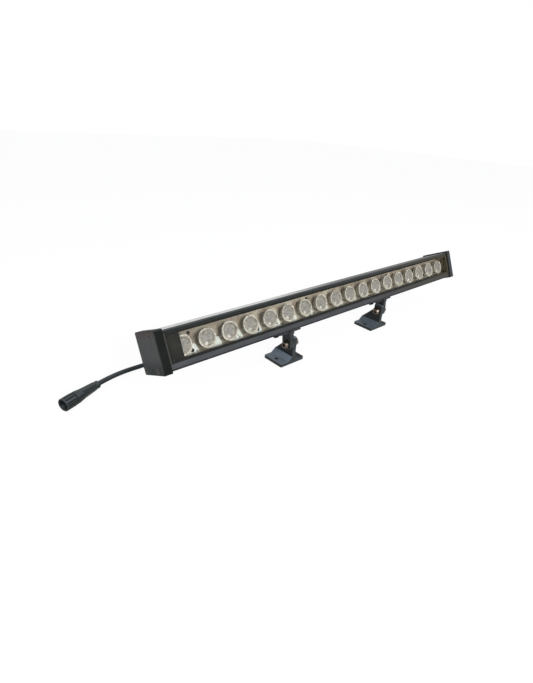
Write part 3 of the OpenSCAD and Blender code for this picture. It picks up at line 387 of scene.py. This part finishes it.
def connector_tint(tree, place, normal, color):
    """Painted shade in the seam between the coupling nut and the grip, and in the nut's grooves."""
    joint = JOINTS["coupling_turn"]
    reach = vector_calc(tree, "SUBTRACT", "Vector", place, joint["pos_m"])
    along = vector_calc(tree, "DOT_PRODUCT", "Value", reach, joint["axis"])
    across = vector_calc(tree, "CROSS_PRODUCT", "Vector", reach, joint["axis"])
    radius = vector_calc(tree, "LENGTH", "Value", across)
    seam = band(tree, along, *SEAM_ALONG, SEAM_SOFT)
    groove = times(tree, band(tree, along, *GROOVE_ALONG, GROOVE_ALONG_SOFT),
                   band(tree, radius, *GROOVE_R, GROOVE_R_SOFT))
    # painted shade in the seam and the grooves
    dark = times(tree, calc(tree, "MAXIMUM", seam, groove), GROOVE_SHADE_SHARE)
    return mix(tree, dark, color, GROOVE_SHADE_TONE)


# The bead's olive brown at the far end is painted light.
BEAD_FAR_X = (0.15, 0.233)
BEAD_FAR_LIT_TONE = tone(56, 52, 40)


def bead_tint(tree, color):
    """The sealing bead goes from black to an olive brown at the far end, which is painted light."""
    x = axes(tree, bar_place(tree))[0]
    return mix(tree, fade(tree, x, *BEAD_FAR_X), color, BEAD_FAR_LIT_TONE)


# Metal: its fine streaks and its patches, and the painted shade in its hollows
STREAK_STRETCH = (6, 1, 1)
STREAK_SCALE = 900
PATCH_SCALE = 220
METAL_SMOOTHER = 0.08
METAL_ROUGHER = 0.12
METAL_BUMP = 0.00001
HOLLOW_SHADE_REACH = 0.002
HOLLOW_SHADE_OPEN = (0.75, 0.4)
HOLLOW_SHADE_DIM = 0.15


def metal(name, base, dark, roughness):
    """Turned or plated metal with fine streaks, and painted shade in its hollows."""
    mat, tree, shader = new_material(name, roughness, metallic=1.0)
    place = place_of(tree)
    streaks = noise(tree, stretched(tree, place, STREAK_STRETCH), STREAK_SCALE, detail=4, low=0.25, high=0.75)
    # painted shade: darker in hollows and corners, found by ambient occlusion
    hollow = node(tree, "AmbientOcclusion", {"Distance": HOLLOW_SHADE_REACH}, samples=6).outputs["AO"]
    unshaded = mix(tree, streaks, dark, base)
    color = mix(tree, fade(tree, hollow, *HOLLOW_SHADE_OPEN), unshaded, dimmed(dark, HOLLOW_SHADE_DIM))
    tree.links.new(color, shader.inputs["Base Color"])
    patches = noise(tree, place, PATCH_SCALE, detail=3)
    rough = spread(tree, patches, roughness - METAL_SMOOTHER, roughness + METAL_ROUGHER)
    tree.links.new(rough, shader.inputs["Roughness"])
    set_bump(tree, shader, streaks, METAL_BUMP, EDGE_R / 2)
    return mat


PLAIN_SCALE = 260
PLAIN_GRAIN = 8
PLAIN_BUMP = 0.000006


def plain(name, light, dark, roughness, scale=PLAIN_SCALE, specular=0.12, tint=None):
    """Matte stuff with soft clouds and a fine grain, for rubber, boards and hidden parts."""
    mat, tree, shader = new_material(name, roughness, specular)
    place = place_of(tree)
    color = mix(tree, noise(tree, place, scale, detail=4), dark, light)
    if tint:
        color = tint(tree, color)
    tree.links.new(color, shader.inputs["Base Color"])
    grain = noise(tree, place, scale * PLAIN_GRAIN, detail=2, low=0.2, high=0.8)
    set_bump(tree, shader, grain, PLAIN_BUMP)
    return mat


GLASS_ALPHA = 0.05
GLASS_ROUGHNESS = (0.04, 0.16)
SMUDGE_STRETCH = (0.3, 1, 1)
SMUDGE_SCALE = 45
SMUDGE_DARK = tone(74, 80, 76)
SMUDGE_PALE = tone(104, 108, 102)


def glass_material():
    """Thin clear glass with long, faint smudges."""
    mat, tree, shader = new_material("glass", roughness=0.06, specular=0.5, alpha=GLASS_ALPHA)
    smudge = noise(tree, stretched(tree, place_of(tree), SMUDGE_STRETCH), SMUDGE_SCALE, detail=3)
    tree.links.new(mix(tree, smudge, SMUDGE_DARK, SMUDGE_PALE), shader.inputs["Base Color"])
    tree.links.new(spread(tree, smudge, *GLASS_ROUGHNESS), shader.inputs["Roughness"])
    return mat


def from_light(tree, x, up):
    """Along and up from the middle of the nearest light, as a flat vector."""
    run = calc(tree, "MODULO", calc(tree, "SUBTRACT", x, FIRST_LIGHT_X - PITCH / 2), PITCH)
    along = calc(tree, "SUBTRACT", run, PITCH / 2)
    return node(tree, "CombineXYZ", {"X": along, "Y": up}).outputs["Vector"]


# Lenses: clouded and finely hatched, with rings, painted highlights as a paler foot and a bright spot, and painted
# light on their pale side walls
LENS_ALPHA = 0.8
LENS_DARK = tone(98, 93, 84)
LENS_PALE = tone(150, 145, 134)
LENS_CLOUD_SCALE = 420
HATCH_STRETCH = (1, 1, 0.25)
HATCH_SCALE = 1500
HATCH_SHARE = 0.4
HATCH_TONE = tone(180, 176, 166)
CORE_R = (0.0052, 0.0018)
CORE_SHARE = 0.35
CORE_TONE = tone(128, 129, 134)
MOON_R = (0.0064, 0.0082)
MOON_UP = (0.001, -0.0055)
MOON_HIGHLIGHT_SHARE = 0.75
MOON_HIGHLIGHT_TONE = tone(206, 199, 182)
SPOT_AT = (-0.0022, -0.0048, 0)
SPOT_R = (0.0028, 0.0006)
SPOT_SCALE = 700
SPOT_HIGHLIGHT_TONE = tone(242, 237, 224)
LENS_WALL_Y = (LENS_FACE_Y + 0.0016, LENS_FACE_Y + 0.003)
LENS_WALL_LIT_TONE = tone(222, 214, 196)
LENS_RING_STEP = 0.0009
LENS_BUMP = 0.00005


def lens_material():
    """Clouded plastic lenses, each with its own rings round its light."""
    mat, tree, shader = new_material("lens", roughness=0.3, specular=0.4, alpha=LENS_ALPHA)
    place = place_of(tree)
    x, depth, up = axes(tree, bar_place(tree))
    flat = from_light(tree, x, up)
    radius = vector_calc(tree, "LENGTH", "Value", flat)
    clouds = noise(tree, place, LENS_CLOUD_SCALE, detail=5, low=0.32, high=0.68)
    color = mix(tree, clouds, LENS_DARK, LENS_PALE)
    hatch = noise(tree, stretched(tree, place, HATCH_STRETCH), HATCH_SCALE, detail=3, low=0.42, high=0.62)
    color = mix(tree, times(tree, hatch, HATCH_SHARE), color, HATCH_TONE)
    color = mix(tree, times(tree, fade(tree, radius, *CORE_R), CORE_SHARE), color, CORE_TONE)
    # painted highlight: a pale crescent inside the rim at the foot
    moon_highlight = times(tree, fade(tree, radius, *MOON_R), fade(tree, up, *MOON_UP), MOON_HIGHLIGHT_SHARE)
    color = mix(tree, moon_highlight, color, MOON_HIGHLIGHT_TONE)
    # painted highlight: a bright spot low and to the near side of the middle
    from_spot = vector_calc(tree, "DISTANCE", "Value", flat, SPOT_AT)
    spot_highlight = times(tree, fade(tree, from_spot, *SPOT_R),
                 noise(tree, place, SPOT_SCALE, detail=3, low=0.35, high=0.6))
    color = mix(tree, spot_highlight, color, SPOT_HIGHLIGHT_TONE)
    # painted light: the side walls are paler than the face
    color = mix(tree, fade(tree, depth, *LENS_WALL_Y), color, LENS_WALL_LIT_TONE)
    tree.links.new(color, shader.inputs["Base Color"])
    rings = calc(tree, "SINE", times(tree, radius, 2 * math.pi / LENS_RING_STEP))
    set_bump(tree, shader, calc(tree, "ADD", rings, clouds), LENS_BUMP)
    return mat


# Light board, in the lamp's frame: clouded and stained, with painted light that makes it paler at its foot and at
# the window's edges, and dim at its near end
BOARD_DARK = tone(152, 138, 120)
BOARD_PALE = tone(194, 186, 166)
BOARD_CLOUD_SCALE = 75
BOARD_FOOT_UP = (0.002, -0.008)
BOARD_FOOT_LIT_TONE = tone(204, 197, 178)
STAIN_SCALE = 190
STAIN_SHARE = 0.5
STAIN_TONE = tone(128, 110, 91)
LOW_EDGE_UP = (WINDOW_LOW + 0.0011, WINDOW_LOW + 0.0004)
HIGH_EDGE_UP = (WINDOW_HIGH - 0.0020, WINDOW_HIGH - 0.0012)
WINDOW_EDGE_LIT_SHARE = 0.7
WINDOW_EDGE_LIT_TONE = tone(226, 218, 196)
BOARD_NEAR_X = (-0.1, -0.2)
BOARD_NEAR_SHARE = 0.4
BOARD_NEAR_TONE = tone(104, 96, 84)
BOARD_END_X = (0.2295, 0.2325)
BOARD_END_TONE = tone(150, 134, 98)
BOARD_GRAIN_SCALE = 1500
BOARD_BUMP = 0.00001


def board_material():
    """The pale light board behind the lenses."""
    mat, tree, shader = new_material("light_board", roughness=0.5, specular=0.3)
    place = place_of(tree)
    x, _, up = axes(tree, bar_place(tree))
    clouds = noise(tree, place, BOARD_CLOUD_SCALE, detail=5, low=0.35, high=0.65)
    color = mix(tree, clouds, BOARD_DARK, BOARD_PALE)
    # painted light: the foot of the board is paler
    color = mix(tree, fade(tree, up, *BOARD_FOOT_UP), color, BOARD_FOOT_LIT_TONE)
    stains = times(tree, noise(tree, place, STAIN_SCALE, detail=4, low=0.45, high=0.62), STAIN_SHARE)
    color = mix(tree, stains, color, STAIN_TONE)
    # painted light: paler strips along the window's edges
    edge = calc(tree, "MAXIMUM", fade(tree, up, *LOW_EDGE_UP), fade(tree, up, *HIGH_EDGE_UP))
    color = mix(tree, times(tree, edge, WINDOW_EDGE_LIT_SHARE), color, WINDOW_EDGE_LIT_TONE)
    color = mix(tree, times(tree, fade(tree, x, *BOARD_NEAR_X), BOARD_NEAR_SHARE), color, BOARD_NEAR_TONE)
    color = mix(tree, fade(tree, x, *BOARD_END_X), color, BOARD_END_TONE)
    tree.links.new(color, shader.inputs["Base Color"])
    grain = noise(tree, place, BOARD_GRAIN_SCALE, detail=3, low=0.2, high=0.8)
    set_bump(tree, shader, grain, BOARD_BUMP)
    return mat


def make_materials():
    """The materials of the record's slots, and black steel for the slot screws."""
    return {
        # The second tone of each paint is the painted light on what faces up.
        "dark_paint": paint("dark_paint", tone(33, 37, 36), tone(71, 73, 77), tone(66, 68, 68), 0.42,
                            tint=housing_tint, top_gloss=0.75),
        "cap_paint": paint("cap_paint", tone(19, 22, 21), tone(56, 60, 60), tone(54, 56, 54), 0.5,
                           specular=0.06, tint=cap_tint),
        "bracket_paint": paint("bracket_paint", tone(46, 50, 51), tone(100, 108, 118), tone(88, 94, 98), 0.45,
                               tint=bracket_tint),
        "plastic": paint("plastic", tone(34, 38, 38), tone(70, 76, 80), tone(68, 72, 72), 0.5,
                         tint=connector_tint, grain=1500),
        "cable": paint("cable", tone(30, 34, 36), tone(60, 67, 71), tone(50, 54, 56), 0.45, grain=900),
        "glass": glass_material(),
        "lens": lens_material(),
        "light_board": board_material(),
        "blank": plain("blank", tone(29, 28, 23), tone(19, 18, 14), 0.6, scale=120),
        "rubber": plain("rubber", tone(30, 31, 29), tone(22, 23, 21), 0.7, tint=bead_tint),
        "steel": metal("steel", tone(124, 114, 105), tone(80, 71, 63), 0.38),
        "dark_steel": metal("dark_steel", tone(84, 80, 74), tone(46, 43, 39), 0.45),
        "black_steel": metal("black_steel", tone(40, 41, 44), tone(24, 25, 27), 0.5),
        "brass": metal("brass", tone(214, 180, 104), tone(160, 128, 70), 0.3),
        "pad": plain("pad", tone(196, 198, 200), tone(170, 172, 176), 0.8),
        "chip": plain("chip", tone(224, 208, 128), tone(204, 184, 98), 0.5, scale=900),
        "driver_board": plain("driver_board", tone(34, 96, 58), tone(24, 74, 44), 0.45),
        "driver_parts": plain("driver_parts", tone(64, 64, 68), tone(38, 38, 42), 0.5),
        "wire": plain("wire", tone(168, 54, 46), tone(138, 40, 34), 0.5),
    }


def finish_nodes(materials):
    """Each CAD node gets the material of its slot in the record, but for a few that differ within theirs."""
    slots = {part["node"]: part["material_slot"] for part in RECORD["subparts"]}
    gasket = plain("gasket", tone(186, 166, 122), tone(150, 134, 98), 0.8)
    insert = plain("insert", tone(196, 200, 186), tone(160, 165, 150), 0.6)
    special = {"end_gasket_left": gasket, "end_gasket_right": gasket, "connector_insert": insert,
               "slot_screws_left": materials["black_steel"], "slot_screws_right": materials["black_steel"],
               "board_screws": materials["dark_steel"]}
    for name, obj in NODES.items():
        mat = special.get(name, materials[slots[name]])
        for holder in obj.material_slots:
            holder.material = mat


# Pieces

def add_object(name, data, body):
    obj = bpy.data.objects.new(name, data)
    bpy.context.scene.collection.objects.link(obj)
    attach(obj, body)
    return obj


def smooth_line(points, steps):
    """A smooth line through the points, in a number of steps from each to the next."""
    line = []
    last = len(points) - 1
    for i in range(last):
        a = Vector(points[max(i - 1, 0)])
        b = Vector(points[i])
        c = Vector(points[i + 1])
        d = Vector(points[min(i + 2, last)])
        for s in range(steps):
            k = s / steps
            line.append(b + 0.5 * k * (c - a + k * (2 * a - 5 * b + 4 * c - d + k * (3 * (b - c) + d - a))))
    line.append(Vector(points[last]))
    return line


def line_curve(name, lines, radius, mat, closed):
    """Round tubes along lines, as one curve."""
    data = bpy.data.curves.new(name, "CURVE")
    data.dimensions = "3D"
    data.bevel_depth = radius
    data.bevel_resolution = 3
    data.use_fill_caps = True
    data.materials.append(mat)
    for line in lines:
        spline = data.splines.new("POLY")
        spline.points.add(len(line) - 1)
        spline.use_cyclic_u = closed
        for point, at in zip(spline.points, line):
            point.co = (*at, 1)
    return data


def add_cable(mat):
    """The cable, in place of its plain CAD tube."""
    line = smooth_line(CABLE_ROUTE, ROUTE_STEPS)
    cable = add_object("cable", line_curve("cable", [line], CABLE_D / 2, mat, False), "lamp")
    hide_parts("power_cable")


# Rims of the lenses
RIM_R = 0.0090
RIM_TUBE_R = 0.00042
RIM_WOBBLE = 0.00045
RIM_CORNERS = 11
RIM_SHIFT_SHARE = 0.25
RIM_STEPS = 4
RIM_SEED = 7


def add_lens_rims(mat):
    """The moulded rims of the lenses, which are a little uneven, as one piece."""
    draw = random.Random(RIM_SEED)
    overlap = 2
    spare = overlap * RIM_STEPS
    loops = []
    for i in range(LIGHTS):
        middle = FIRST_LIGHT_X + i * PITCH
        start = draw.uniform(0, 2 * math.pi)
        corners = []
        for k in range(RIM_CORNERS):
            angle = start + (k + draw.uniform(-RIM_SHIFT_SHARE, RIM_SHIFT_SHARE)) * 2 * math.pi / RIM_CORNERS
            reach = RIM_R + draw.uniform(-RIM_WOBBLE, RIM_WOBBLE)
            corners.append((middle + reach * math.cos(angle), LENS_FACE_Y, reach * math.sin(angle)))
        around = corners[-overlap:] + corners + corners[:overlap]
        line = smooth_line(around, RIM_STEPS)[spare:-spare]
        loops.append([in_bar(*p) for p in line[:-1]])
    add_object("lens_rims", line_curve("lens_rims", loops, RIM_TUBE_R, mat, True), "lamp")


def extrude_outline(mesh, outline, front, back):
    """A flat solid between two depths, from an outline in the lamp's x and z."""
    near = [mesh.verts.new(in_bar(x, front, z)) for x, z in outline]
    far = [mesh.verts.new(in_bar(x, back, z)) for x, z in outline]
    mesh.faces.new(near)
    mesh.faces.new(far[::-1])
    count = len(outline)
    for k in range(count):
        mesh.faces.new((near[k], far[k], far[(k + 1) % count], near[(k + 1) % count]))


def mesh_piece(name, build, mat, bevel):
    """A piece on the lamp, from a function that fills its mesh, with all edges bevelled."""
    mesh = bmesh.new()
    build(mesh)
    bmesh.ops.recalc_face_normals(mesh, faces=mesh.faces)
    bmesh.ops.bevel(mesh, geom=mesh.edges[:], offset=bevel, segments=2, affect="EDGES", profile=0.6)
    data = bpy.data.meshes.new(name)
    mesh.to_mesh(data)
    mesh.free()
    data.materials.append(mat)
    add_object(name, data, "lamp")


# Outlines of the pale patches beside each light, from the light along the bar and up, and their uneven size
PATCH_OUTLINES = [
    [(0.0064, -0.0112), (0.0076, -0.0090), (0.0122, -0.0060), (0.0158, -0.0022), (0.0176, -0.0030),
     (0.0188, -0.0066), (0.0204, -0.0112)],
    [(0.0086, -0.0108), (0.0098, -0.0092), (0.0188, -0.0092), (0.0198, -0.0108)]]
PATCH_T = 0.00025
PATCH_BEVEL = PATCH_T / 5
PATCH_MIDDLE = 0.0142
PATCH_SHIFT = 0.0006
PATCH_LEAST = 0.85
PATCH_MOST = 1.05
PATCH_SEED = 11


def add_patches(mat):
    """Pale, flat patches on the board between the lights."""
    draw = random.Random(PATCH_SEED)

    def build(mesh):
        for i in range(LIGHTS - 1):
            middle = FIRST_LIGHT_X + i * PITCH + draw.uniform(-PATCH_SHIFT, PATCH_SHIFT)
            grow = draw.uniform(PATCH_LEAST, PATCH_MOST)
            for level, outline in enumerate(PATCH_OUTLINES):
                back = BOARD_Y - level * PATCH_T
                grown = [(middle + PATCH_MIDDLE + (x - PATCH_MIDDLE) * grow, z) for x, z in outline]
                extrude_outline(mesh, grown, back - PATCH_T, back)
    mesh_piece("board_patches", build, mat, PATCH_BEVEL)


def block(left, low, length, height):
    """The outline of an upright rectangle."""
    return [(left, low), (left + length, low), (left + length, low + height), (left, low + height)]


# Outlines of the small dark parts beside a light, from the light along the bar and up
PARTS = {
    "chips": [block(0.0136, -0.0080, 0.0012, 0.0010), block(0.0149, -0.0100, 0.0010, 0.0011)],
    "wedge": [[(0.0160, -0.0046), (0.0122, -0.0094), (0.0146, -0.0097), (0.0162, -0.0072)]],
    "small": [[(0.0154, -0.0072), (0.0133, -0.0088), (0.0152, -0.0092)],
              block(0.0190, -0.0101, 0.0052, 0.0006)],
    "strips": [block(0.0102, -0.0101, 0.0034, 0.0007), block(0.0176, -0.0100, 0.0040, 0.0007)],
    "corner": [[(0.0112, -0.0098), (0.0126, -0.0074), (0.0136, -0.0094)],
               block(0.0164, -0.0100, 0.0022, 0.0008)],
    "dots": [block(0.0128, 0.0024, 0.0010, 0.0012), block(0.0166, -0.0026, 0.0010, 0.0011)],
    "bare": []}
PARTS_BY_LIGHT = ("corner dots chips wedge small bare strips bare chips chips small strips "
                  "bare chips bare bare bare").split()
PART_DEPTH = 0.0009
PART_BEVEL = 0.0001


def add_board_parts(mat):
    """Small dark parts soldered to the board beside each light."""
    def build(mesh):
        for i, kind in enumerate(PARTS_BY_LIGHT):
            middle = FIRST_LIGHT_X + i * PITCH
            for outline in PARTS[kind]:
                extrude_outline(mesh, [(middle + x, z) for x, z in outline], BOARD_Y - PART_DEPTH, BOARD_Y)
    mesh_piece("board_parts", build, mat, PART_BEVEL)


# Camera, stage and lights

def add_camera():
    data = bpy.data.cameras.new("camera")
    data.sensor_fit = "VERTICAL"
    data.sensor_height = CAMERA_SENSOR_MM
    data.lens = CAMERA_LENS_MM
    data.clip_start = CAMERA_CLIP
    camera = bpy.data.objects.new("camera", data)
    camera.location = CAMERA_AT
    camera.rotation_euler = Euler([math.radians(a) for a in CAMERA_TURN_DEG], "XYZ")
    bpy.context.scene.collection.objects.link(camera)
    bpy.context.scene.camera = camera


def seen_directly(tree):
    """1 for rays from the camera, off gloss or through glass."""
    path = node(tree, "LightPath")
    shiny = calc(tree, "MAXIMUM", path.outputs["Is Glossy Ray"], path.outputs["Is Transmission Ray"])
    return calc(tree, "MAXIMUM", path.outputs["Is Camera Ray"], shiny)


FLOOR_SIZE = 8
FLOOR_COLOR = (0.86, 0.86, 0.86, 1)
FLOOR_WHITE_SHARE = 0.9
FLOOR_WHITE = 1.03
SKY_COLOR = (0.93, 0.96, 1, 1)
SKY_STRENGTH = 0.6
WHITE = (1, 1, 1, 1)


def add_floor():
    """A pale floor that is seen as nearly white and keeps the lamp's shadow."""
    data = bpy.data.meshes.new("floor")
    half = FLOOR_SIZE / 2
    corners = [(-half, -half, 0), (half, -half, 0), (half, half, 0), (-half, half, 0)]
    data.from_pydata(corners, [], [(0, 1, 2, 3)])
    floor = bpy.data.objects.new("floor", data)
    bpy.context.scene.collection.objects.link(floor)
    mat, tree, shader = new_material("floor", roughness=0.9, specular=0.1)
    shader.inputs["Base Color"].default_value = FLOOR_COLOR
    white = node(tree, "Emission", {"Strength": FLOOR_WHITE})
    factor = times(tree, seen_directly(tree), FLOOR_WHITE_SHARE)
    both = node(tree, "MixShader", {0: factor, 1: shader.outputs["BSDF"], 2: white.outputs["Emission"]})
    tree.links.new(both.outputs["Shader"], tree.nodes["Material Output"].inputs["Surface"])
    data.materials.append(mat)


def add_world():
    """A soft, slightly blue sky for light, which is seen as white."""
    world = bpy.data.worlds.new("world")
    bpy.context.scene.world = world
    world.use_nodes = True
    tree = world.node_tree
    sky = tree.nodes["Background"]
    sky.inputs["Color"].default_value = SKY_COLOR
    sky.inputs["Strength"].default_value = SKY_STRENGTH
    white = node(tree, "Background", {"Color": WHITE, "Strength": 1.0})
    both = node(tree, "MixShader", {0: seen_directly(tree), 1: sky.outputs["Background"],
                                    2: white.outputs["Background"]})
    tree.links.new(both.outputs["Shader"], tree.nodes["World Output"].inputs["Surface"])


def add_light(name, at, aim, size, power):
    data = bpy.data.lights.new(name, "AREA")
    data.size = size
    data.energy = power
    light = bpy.data.objects.new(name, data)
    light.location = at
    light.rotation_euler = (Vector(aim) - Vector(at)).to_track_quat("-Z", "Y").to_euler()
    bpy.context.scene.collection.objects.link(light)


add_camera()
add_floor()
add_world()
add_light("key", at=(-0.3, -1.1, 0.6), aim=(0, 0, 0.04), size=0.5, power=14)
add_light("fill", at=(0.7, -0.7, 0.9), aim=(0.05, 0, 0.04), size=0.9, power=3)

materials = make_materials()
add_cable(materials["cable"])
finish_nodes(materials)
add_lens_rims(plain("lens_rim", tone(238, 232, 216), tone(158, 151, 136), 0.4, scale=420, specular=0.4))
add_patches(plain("board_patch", tone(242, 248, 242), tone(218, 224, 216), 0.5, scale=420))
add_board_parts(plain("board_part", tone(74, 66, 57), tone(46, 41, 36), 0.5, scale=900))

bpy.context.scene.view_settings.view_transform = "Standard"
